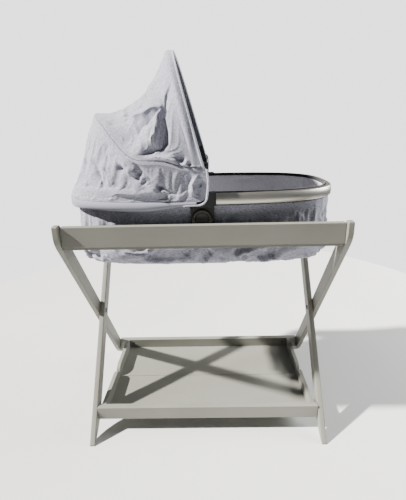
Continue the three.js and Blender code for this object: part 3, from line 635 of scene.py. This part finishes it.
def lining_cloth():
    inset = SHELL_HIGH.y - LINING_HIGH.y
    depth = 0.011
    low = tub_rings(SHELL_HIGH.z, LINING_LOW.z + 0.001, TUB_CORNER - 0.006, inset + 0.0, 26, 240)
    collar = np.array([plan_ring(LINING_HIGH.x - 0.0004, LINING_HIGH.y - 0.0004, z, 240)
                       for z in np.linspace(LINING_HIGH.z, SHELL_HIGH.z + 0.004, 5)])
    grid = np.concatenate([collar, low])
    s, t = cloth_lengths(grid)
    z = grid[..., 2]
    s_along = np.arctan2(grid[..., 1], grid[..., 0] * 0.5) * 0.36
    waves = 0.0022 * billows(s_along, t, 1.4, 0.12) - 0.0026 * creased(s_along, t, 2.9, 0.11, 0.8, 2.0)
    waves = np.minimum(waves, 0.0) * smoothstep(z, LINING_LOW.z + 0.002, LINING_LOW.z + 0.03)
    waves *= 1 - smoothstep(z, LINING_HIGH.z - 0.02, LINING_HIGH.z)
    grid = grid + outward_normals(grid, (0, 0, 0.72), True) * waves[..., None]
    obj = sheet_object("carrycot_lining_cloth", grid, (0, 0, 0.72), CLOTH, True, (0, 0, LINING_LOW.z + 0.001))
    return obj, grid


def draped(grid, held, excess, cap, frames=26, looped=False, stiffness=0.4, gravity=1.0):
    """The grid after a short cloth simulation with spare cloth, so that it buckles between the
    points that are held (1) and hangs free elsewhere (0)."""
    rows, columns = grid.shape[:2]
    obj = new_object("draping", grid.reshape(-1, 3), grid_faces(rows, columns, looped))
    group = obj.vertex_groups.new(name="held")
    for index, weight in enumerate(held.ravel()):
        if weight > 0.001:
            group.add([index], float(weight), "REPLACE")
    cloth = obj.modifiers.new("cloth", "CLOTH")
    settings = cloth.settings
    settings.quality = 6
    settings.mass = 0.25
    settings.air_damping = 2
    settings.tension_stiffness = 25
    settings.compression_stiffness = 25
    settings.shear_stiffness = 12
    settings.bending_stiffness = stiffness
    settings.shrink_min = -excess
    settings.effector_weights.gravity = gravity
    settings.vertex_group_mass = "held"
    settings.pin_stiffness = 4
    for number in range(1, frames + 1):
        bpy.context.scene.frame_set(number)
    settle(obj)
    bpy.context.scene.frame_set(1)
    after = np.array([v.co for v in obj.data.vertices]).reshape(grid.shape)
    bpy.data.objects.remove(obj)
    move = after - grid
    far = np.linalg.norm(move, axis=2, keepdims=True)
    return grid + move * np.tanh(far / cap) * cap / np.maximum(far, 1e-9)


def kept_between(grid, start, outward, deepest, proudest):
    """The grid, with each point's distance from where it started held between two limits."""
    proud = ((grid - start) * outward).sum(axis=2)
    return grid + outward * (np.clip(proud, deepest, proudest) - proud)[..., None]


def pressed_pad(source, name, shrink, voxel, cap, pressure=4.0):
    """A padded piece: the CAD solid's shape filled by a short cloth simulation under pressure."""
    obj = bpy.data.objects.new(name, source.data.copy())
    bpy.context.scene.collection.objects.link(obj)
    centre = sum((Vector(c) for c in source.bound_box), Vector()) / 8
    size = [max(c[k] for c in source.bound_box) - min(c[k] for c in source.bound_box) for k in range(3)]
    scale = Matrix.Diagonal([1 - 2 * shrink / s for s in size] + [1])
    obj.data.transform(Matrix.Translation(centre) @ scale @ Matrix.Translation(-centre))
    remesh = obj.modifiers.new("remesh", "REMESH")
    remesh.mode = "VOXEL"
    remesh.voxel_size = voxel
    settle(obj)
    before = np.array([v.co for v in obj.data.vertices])
    cloth = obj.modifiers.new("cloth", "CLOTH")
    cloth.settings.use_pressure = True
    cloth.settings.uniform_pressure_force = pressure
    cloth.settings.effector_weights.gravity = 0
    for number in range(1, 21):
        bpy.context.scene.frame_set(number)
    settle(obj)
    bpy.context.scene.frame_set(1)
    after = np.array([v.co for v in obj.data.vertices])
    move = after - before
    far = np.linalg.norm(move, axis=1, keepdims=True)
    after = before + move * np.minimum(1, cap / np.maximum(far, 1e-9))
    obj.data.vertices.foreach_set("co", after.ravel())
    obj.data.update()
    return obj


def quilted_mattress():
    obj = pressed_pad(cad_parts["mattress"], "mattress_pad", 0.006, 0.006, 0.006)
    co = np.array([v.co for v in obj.data.vertices])
    mid_z = (PAD_LOW.z + PAD_HIGH.z) / 2
    pitch = 0.062
    u, v = (co[:, 0] + co[:, 1]) / pitch, (co[:, 0] - co[:, 1]) / pitch
    groove = np.maximum(bump(np.abs(u - np.round(u)), 0, 0.09), bump(np.abs(v - np.round(v)), 0, 0.09))
    top = smoothstep(co[:, 2], mid_z, PAD_HIGH.z - 0.006)
    co[:, 2] -= 0.0028 * groove * top
    co[:, 2] = np.clip(co[:, 2], PAD_LOW.z + 0.0005, PAD_HIGH.z + 0.004)
    obj.data.vertices.foreach_set("co", co.ravel())
    obj.data.update()
    smooth = obj.modifiers.new("smooth", "SUBSURF")
    smooth.levels = 1
    settle(obj)
    obj.data.polygons.foreach_set("use_smooth", [True] * len(obj.data.polygons))
    return obj


# ---- hood ----------------------------------------------------------------------------------


def arch(angle, reach, turns, forward=0.0):
    """The cloth's line over a bow, from the front side to the back."""
    c, s = np.cos(turns), np.sin(turns)
    out = reach * np.abs(s) ** (2 / ARCH_POWER)
    y = -HOOD_HALF * np.sign(c) * np.abs(c) ** (2 / ARCH_POWER)
    x = HUB.x + out * math.cos(angle) + forward * math.sin(angle)
    z = HUB.z + out * math.sin(angle) - forward * math.cos(angle)
    return np.column_stack([x, y, z]), out


def front_edge(count):
    """The hood's front edge, from beside the hub over to the far side."""
    turns = np.linspace(0.045, math.pi - 0.045, 700)
    points, _ = arch(FRONT_ANGLE, FRONT_REACH, turns, LAP)
    return respaced(points, count)


def ridge(count, forward=0.0):
    """The seam over the rear bow, which ends in front of and above the hub."""
    turns = np.linspace(0.0, math.pi, 900)
    points, out = arch(REAR_ANGLE, REAR_REACH, turns, forward)
    near_hub = np.exp(-((out / 0.05) ** 2))
    drop = SEAM_DROP * bump(out, 0.235, 0.088)
    points[:, 2] += 0.03 * near_hub - drop
    points[:, 0] += (0.006 - forward * math.sin(REAR_ANGLE)) * near_hub
    points[:, 1] *= 1 + SEAM_FLARE * drop
    return respaced(points, count)


def hem_rise(x):
    """How far the hem's lower edge rises towards its front end."""
    return 0.015 * smoothstep(x, -0.17, -0.02)


def hem_height(x):
    """The hem band narrows towards its front end."""
    return (HEM_HIGH.z - HEM_LOW.z) * (1 - 0.6 * smoothstep(x, -0.16, -0.025))


def corner_rise(x):
    """The rounded corner between the hem and the fixed front edge."""
    into = np.clip((x - (FIXED_EDGE - CORNER)) / CORNER, 0, 1)
    return CORNER * (1 - np.sqrt(1 - 0.98 * into**2))


def hem_line(count):
    """The line where the hood's cloth meets its hem band, round the head end."""
    a, b = -HEM_LOW.x - 0.0014, HEM_HIGH.y - 0.0014
    turns = np.linspace(0.5 * math.pi, 1.5 * math.pi, 900)
    c, s = np.cos(turns), np.sin(turns)
    x = a * np.sign(c) * np.abs(c) ** (2 / PLAN_POWER)
    y = -b * np.sign(s) * np.abs(s) ** (2 / PLAN_POWER)
    ahead = np.linspace(FIXED_EDGE, 0, 24)
    x = np.concatenate([ahead, x, ahead[::-1]])
    y = np.concatenate([np.full(24, -b), y, np.full(24, b)])
    z = HEM_LOW.z + hem_rise(x) + hem_height(x) + corner_rise(x)
    return respaced(np.column_stack([x, y, z]), count)


FRONT_CREASES = (  # points in the side view, depth, reach of the left and right flanks
    (((-0.086, 1.122), (-0.093, 1.090), (-0.096, 1.065), (-0.091, 1.035), (-0.092, 0.995), (-0.110, 0.974),
      (-0.180, 0.962)), 0.013, 0.006, 0.012),
    (((-0.100, 1.100), (-0.111, 1.075), (-0.110, 1.050), (-0.117, 1.020), (-0.140, 0.975)), -0.013, 0.010, 0.030),
    (((-0.100, 1.092), (-0.120, 1.072), (-0.138, 1.058), (-0.155, 1.034)), 0.011, 0.006, 0.009),
    (((-0.095, 1.095), (-0.130, 1.080), (-0.160, 1.068), (-0.215, 1.060)), -0.009, 0.006, 0.035),
    (((-0.150, 1.052), (-0.165, 1.030), (-0.175, 1.010)), 0.005, 0.010, 0.010),
    (((-0.175, 1.075), (-0.225, 1.052), (-0.275, 1.045)), 0.004, 0.008, 0.014),
    (((-0.150, 1.100), (-0.185, 1.080), (-0.225, 1.070)), 0.005, 0.010, 0.010),
    (((-0.140, 1.000), (-0.133, 1.020), (-0.128, 1.035)), 0.004, 0.006, 0.006),
    (((-0.068, 1.170), (-0.088, 1.120), (-0.095, 1.095)), 0.004, 0.010, 0.006),
)
FRONT_DIMPLES = (  # centre in the side view, depth, radius
    ((-0.053, 0.948), 0.008, 0.011),
    ((-0.040, 0.943), -0.005, 0.007),
    ((-0.027, 0.934), 0.007, 0.009),
    ((-0.185, 1.010), 0.004, 0.022),
)
REAR_CREASES = (
    (((-0.215, 0.972), (-0.182, 0.946), (-0.155, 0.916), (-0.135, 0.894), (-0.115, 0.879), (-0.074, 0.856),
      (-0.036, 0.842)), 0.006, 0.005, 0.010),
    (((-0.240, 0.960), (-0.200, 0.935), (-0.172, 0.912), (-0.148, 0.890), (-0.118, 0.871), (-0.080, 0.855)),
     -0.007, 0.008, 0.022),
    (((-0.232, 0.934), (-0.212, 0.923), (-0.183, 0.904), (-0.155, 0.892)), 0.006, 0.005, 0.008),
    (((-0.270, 0.846), (-0.235, 0.860), (-0.190, 0.858), (-0.130, 0.866), (-0.080, 0.858)), -0.005, 0.030, 0.005),
    (((-0.320, 0.955), (-0.300, 0.925), (-0.275, 0.868)), 0.006, 0.012, 0.005),
    (((-0.290, 0.945), (-0.262, 0.905), (-0.255, 0.872)), -0.005, 0.014, 0.006),
    (((-0.345, 0.955), (-0.352, 0.920), (-0.340, 0.880)), 0.005, 0.010, 0.006),
    (((-0.260, 1.000), (-0.270, 0.965), (-0.250, 0.935)), 0.004, 0.012, 0.012),
    (((-0.020, 0.912), (-0.036, 0.880), (-0.036, 0.840)), 0.005, 0.004, 0.011),
    (((-0.006, 0.915), (-0.024, 0.885), (-0.024, 0.845)), -0.006, 0.006, 0.006),
    (((0.004, 0.900), (-0.008, 0.870), (-0.012, 0.842)), 0.004, 0.004, 0.006),
)
REAR_DIMPLES = (
    ((-0.222, 0.930), 0.006, 0.008),
    ((-0.171, 0.913), 0.009, 0.011),
    ((-0.155, 0.891), 0.007, 0.007),
    ((-0.113, 0.873), 0.007, 0.008),
    ((-0.195, 0.920), -0.005, 0.012),
)


def relief(grid, creases, dimples, far_share):
    """How far the folds chosen in the side view stand out, weaker on the hood's far side."""
    x, z = grid[..., 0], grid[..., 2]
    total = sum(crease(x, z, *c) for c in creases)
    for (at_x, at_z), depth, radius in dimples:
        total = total - depth * np.exp(-((x - at_x) ** 2 + (z - at_z) ** 2) / radius**2)
    return np.where(grid[..., 1] < 0, total, total * far_share)


def front_panel():
    """The cloth from the front edge over its bow's wide sleeve, then slack back to the ridge seam."""
    columns, rows, sleeve_rows = 190, 66, 10
    lip, seam = front_edge(columns), ridge(columns, LAP + 0.0015)
    share = np.linspace(0, 1, columns)
    crown = np.sin(math.pi * share) ** 2
    back = -np.array([math.sin(FRONT_ANGLE), 0, -math.cos(FRONT_ANGLE)])
    inward = np.column_stack([HUB.x - lip[:, 0], -lip[:, 1] * 0.9, HUB.z - lip[:, 2]])
    inward /= np.linalg.norm(inward, axis=1, keepdims=True)
    room = smoothstep(np.minimum(share, 1 - share), 0.02, 0.16)[:, None]
    rolled = np.linspace(-0.5, 1, sleeve_rows)
    grid = [lip + back * (SLEEVE * max(w, 0) * room) + inward * EDGE_ROLL * (w * w if w < 0 else 0) * 4 * room
            for w in rolled]
    start = grid[-1]
    for t in np.linspace(0, 1, rows - sleeve_rows + 1)[1:]:
        line = start * (1 - t) + seam * t
        line[:, 2] -= HOOD_SAG * crown * math.sin(math.pi * t**0.82)
        grid.append(line)
    grid = np.array(grid)
    s, along = cloth_lengths(grid)
    t = along / np.maximum(along[-1], 1e-6)
    held = smoothstep(along, SLEEVE + EDGE_ROLL, 0.075) * (1 - smoothstep(t, 0.88, 0.99))
    held *= smoothstep(share, 0.0, 0.12) * (1 - smoothstep(share, 0.88, 1.0))
    loose = 0.004 * billows(s, along, 4.4, 0.11) + 0.004 * creased(s, along, 7.3, 0.12, 0.8, 2.4)
    loose += 0.0022 * creased(s, along, 9.1, 0.045, 1.2, 1.8) - 0.003
    puffed = 0.006 * bump(along, EDGE_ROLL + SLEEVE * 0.55, SLEEVE * 0.45)
    tuck = -0.0016 * bump(along, EDGE_ROLL + SLEEVE * 1.05, 0.003)
    moved = held * loose + (puffed + tuck) * room[:, 0]
    grid = grid + outward_normals(grid, (-0.15, 0, 0.9)) * moved[..., None]
    grid = finer(draped(grid, 1 - held, 0.015, 0.010, stiffness=5))
    s, along = cloth_lengths(grid)
    t = along / np.maximum(along[-1], 1e-6)
    share = np.linspace(0, 1, grid.shape[1])
    free = smoothstep(along, SLEEVE, 0.045) * (1 - smoothstep(t, 0.90, 0.99))
    free *= smoothstep(np.minimum(share, 1 - share), 0.0, 0.03)
    overhang = 0.007 * bump(t, 0.90, 0.07) * bump(np.minimum(share, 1 - share), 0.10, 0.10)
    moved = 1.35 * free * relief(grid, FRONT_CREASES, FRONT_DIMPLES, 0.6) + overhang
    grid = grid + outward_normals(grid, (-0.15, 0, 0.9)) * moved[..., None]
    return sheet_object("hood_front_cloth", grid, (-0.15, 0, 0.9), CLOTH), grid


def rear_panel():
    columns, rows = 190, 56
    top, low = ridge(columns, LAP), hem_line(columns)
    share = np.linspace(0, 1, columns)
    rise = 0.080 * (0.3 + 0.7 * np.sin(math.pi * share))
    guide = low * [0.955, 0.992, 1] + np.column_stack([np.zeros((columns, 2)), rise])
    t = np.linspace(0, 1, rows)[:, None, None]
    grid = top * (1 - t) ** 2 + guide * 2 * t * (1 - t) + low * t**2
    lengths, along = cloth_lengths(grid)
    held = smoothstep(t[..., 0], 0.06, 0.25) * (1 - smoothstep(t[..., 0], 0.9, 1.0))
    held = held * smoothstep(share, 0.0, 0.02) * (1 - smoothstep(share, 0.98, 1.0))
    loose = 0.004 * billows(lengths, along, 6.6, 0.10) + 0.004 * creased(lengths, along, 3.3, 0.10, 1.4, 2.2)
    loose += 0.0022 * creased(lengths, along, 1.9, 0.04, 1.4, 1.8) - 0.002
    sleeve = 0.0016 * bump(along, LAP, 0.006)
    moved = held * loose + sleeve
    hub_side = np.abs(grid[..., 0] - HUB.x) < 0.05
    moved = np.where(hub_side, np.maximum(moved, 0), moved)
    start, out = grid, outward_normals(grid, (-0.15, 0, 0.9))
    grid = grid + out * moved[..., None]
    loose_share = held * (1 - bump(np.minimum(share, 1 - share), 0, 0.05))
    grid = draped(grid, 1 - loose_share, 0.008, 0.008, stiffness=6)
    over_rim = smoothstep(start[..., 2], RIM_TOP + 0.008, RIM_TOP + 0.05)
    grid = finer(kept_between(grid, start, out, -0.0012 - 0.02 * over_rim, 0.016))
    free = smoothstep(np.linspace(0, 1, grid.shape[0]), 0.02, 0.12)[:, None] * np.ones(grid.shape[1])
    free *= 1 - smoothstep(np.linspace(0, 1, grid.shape[0]), 0.93, 1.0)[:, None]
    out = outward_normals(grid, (-0.15, 0, 0.9))
    moved = 1.4 * free * relief(grid, REAR_CREASES, REAR_DIMPLES, 0.6)
    low = smoothstep(grid[..., 2], RIM_TOP + 0.02, RIM_TOP - 0.004)
    moved = np.maximum(moved, -0.0012 - 0.02 * (1 - low))
    grid = grid + out * moved[..., None]
    return sheet_object("hood_rear_cloth", grid, (-0.15, 0, 0.9), CLOTH), grid


def hem_band():
    """The stitched band round the hood's lower edge, with three puffed channels."""
    line = hem_line(260)
    line = line[line[:, 0] < FIXED_EDGE - CORNER]
    height = hem_height(line[:, 0])
    line[:, 2] = HEM_LOW.z + hem_rise(line[:, 0]) + height / 2
    levels = np.linspace(-0.5, 0.5, 25)
    puffs = 0.0042 * np.abs(np.sin((levels + 0.5) * math.pi * HEM_CHANNELS)) ** 0.6
    outer = [(0.0012 + p, l) for l, p in zip(levels, puffs)]
    inner = [(-0.0028, 0.46), (-0.0028, -0.46)]
    obj = swept("hood_hem_band", line, outer + inner, heights=height)
    return obj, line, height


def bound_edge():
    """The turned and bound front edge over the bow, from beside the hub to the far side."""
    edge = front_edge(240)
    obj = swept("hood_edge_binding", edge, round_section(0.0026, 8, 1.3), up=np.tile([1.0, 0, 0.3], (240, 1)))
    return obj, edge


def fixed_edge(side):
    """The binding from the hub down the fixed front edge, round the corner into the hem; side is
    -1 near, 1 far."""
    b = HEM_HIGH.y - 0.0004
    top = HUB.z + 0.036
    turns = np.linspace(0, math.pi / 2, 12)
    corner_z = HEM_LOW.z + hem_rise(FIXED_EDGE - CORNER) + CORNER + 0.001
    path = [(FIXED_EDGE + 0.003 * math.sin(math.pi * t), top + (corner_z - top) * t) for t in np.linspace(0, 0.95, 12)]
    path += [(FIXED_EDGE - CORNER * (1 - math.cos(a)), corner_z - CORNER * math.sin(a)) for a in turns]
    path += [(x, HEM_LOW.z + hem_rise(x) + 0.001) for x in np.linspace(FIXED_EDGE - CORNER - 0.01, -0.05, 6)]
    points = respaced([(x, side * b, z) for x, z in path], 70)
    name = "hood_fixed_edge_" + ("near" if side < 0 else "far")
    return swept(name, points, round_section(0.0028, 8, 1.0), up=np.tile([0, 1.0, 0], (70, 1)))


# ---- assembly ------------------------------------------------------------------------------


def add_carrycot():
    cover, grid = tub_cover()
    paint(cover, "melange")
    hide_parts("carrycot_shell")
    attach(cover, "carrycot")
    lining, inner = lining_cloth()
    paint(lining, "lining")
    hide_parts("carrycot_lining")
    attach(lining, "carrycot")
    pad = paint(quilted_mattress(), "jersey")
    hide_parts("mattress")
    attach(pad, "carrycot")


def add_hood():
    front, front_grid = front_panel()
    rear, rear_grid = rear_panel()
    for cloth, node in ((front, "canopy_panel_front"), (rear, "canopy_panel_rear")):
        paint(cloth, "melange")
        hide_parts(node)
    band, line, height = hem_band()
    paint(band, "melange")
    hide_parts("canopy_hem")
    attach(band, "carrycot")
    for side in (-1, 1):
        fixed = paint(fixed_edge(side), "binding")
        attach(fixed, "carrycot")
    binding, edge = bound_edge()
    paint(binding, "binding")
    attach(binding, "hood_front")
    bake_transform(front)
    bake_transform(rear)


# ---- stage, light, camera ------------------------------------------------------------------


FLOOR_RADIUS = 1.7


def add_floor():
    turns = np.linspace(0, 2 * math.pi, 96, endpoint=False)
    edge = [(FLOOR_RADIUS * math.cos(a), FLOOR_RADIUS * math.sin(a), 0) for a in turns]
    obj = new_object("floor", edge, [tuple(range(len(edge)))])
    shader = Shader("pale_floor")
    cloud = shader.noise(shader.place(), 1.5, 2)
    tint = shader.ramp(cloud, (0.3, rgb(198, 198, 196)), (0.7, rgb(203, 203, 201)))
    obj.data.materials.append(shader.finish(Base_Color=tint, Roughness=0.85))


def add_light(name, place, target, size, power, colour=(1, 1, 1)):
    lamp = bpy.data.lights.new(name, "AREA")
    lamp.shape = "DISK"
    lamp.size = size
    lamp.energy = power
    lamp.color = colour
    obj = bpy.data.objects.new(name, lamp)
    obj.location = place
    obj.rotation_euler = (Vector(target) - Vector(place)).to_track_quat("-Z", "Y").to_euler()
    bpy.context.scene.collection.objects.link(obj)


def add_sun(toward, spread, strength, colour):
    lamp = bpy.data.lights.new("key", "SUN")
    lamp.energy = strength
    lamp.angle = spread
    lamp.color = colour
    obj = bpy.data.objects.new("key", lamp)
    obj.rotation_euler = (-Vector(toward)).to_track_quat("-Z", "Y").to_euler()
    bpy.context.scene.collection.objects.link(obj)


def add_lights():
    world = bpy.data.worlds.new("studio")
    world.use_nodes = True
    background = world.node_tree.nodes["Background"]
    background.inputs["Color"].default_value = (0.9, 0.94, 1, 1)
    background.inputs["Strength"].default_value = 0.16
    backdrop = world.node_tree.nodes.new("ShaderNodeBackground")
    backdrop.inputs["Strength"].default_value = 3.0
    seen = world.node_tree.nodes.new("ShaderNodeLightPath")
    choose = world.node_tree.nodes.new("ShaderNodeMixShader")
    links = world.node_tree.links
    links.new(seen.outputs["Is Camera Ray"], choose.inputs[0])
    links.new(background.outputs[0], choose.inputs[1])
    links.new(backdrop.outputs[0], choose.inputs[2])
    links.new(choose.outputs[0], world.node_tree.nodes["World Output"].inputs[0])
    bpy.context.scene.world = world
    add_sun((-0.75, -0.115, 0.65), math.radians(2.0), 19.0, (1, 0.97, 0.93))
    add_light("fill", (2.6, 0.4, 1.9), (0, 0, 0.9), 1.6, 150)


CAMERA = {
    "place": (0.0247, -1.0481, 1.0361),
    "yaw": math.radians(-0.79),
    "pitch": math.radians(14.65),
    "roll": math.radians(-1.28),
    "lens": 22.41,
    "shift": (-0.0071, -0.0845),
}


def add_camera():
    yaw, pitch, roll = CAMERA["yaw"], CAMERA["pitch"], CAMERA["roll"]
    ahead = Vector((math.sin(yaw) * math.cos(pitch), math.cos(yaw) * math.cos(pitch), -math.sin(pitch)))
    level = Vector((math.cos(yaw), -math.sin(yaw), 0))
    upright = level.cross(ahead)
    right = math.cos(roll) * level + math.sin(roll) * upright
    up = -math.sin(roll) * level + math.cos(roll) * upright
    turn = Matrix((right, up, -ahead)).transposed().to_4x4()
    lens = bpy.data.cameras.new("camera")
    lens.sensor_width = 36
    lens.lens = CAMERA["lens"]
    lens.shift_x, lens.shift_y = CAMERA["shift"]
    obj = bpy.data.objects.new("camera", lens)
    obj.matrix_world = Matrix.Translation(CAMERA["place"]) @ turn
    bpy.context.scene.collection.objects.link(obj)
    bpy.context.scene.camera = obj


add_camera()
add_lights()
add_floor()
paint_cad_nodes()
add_carrycot()
add_hood()
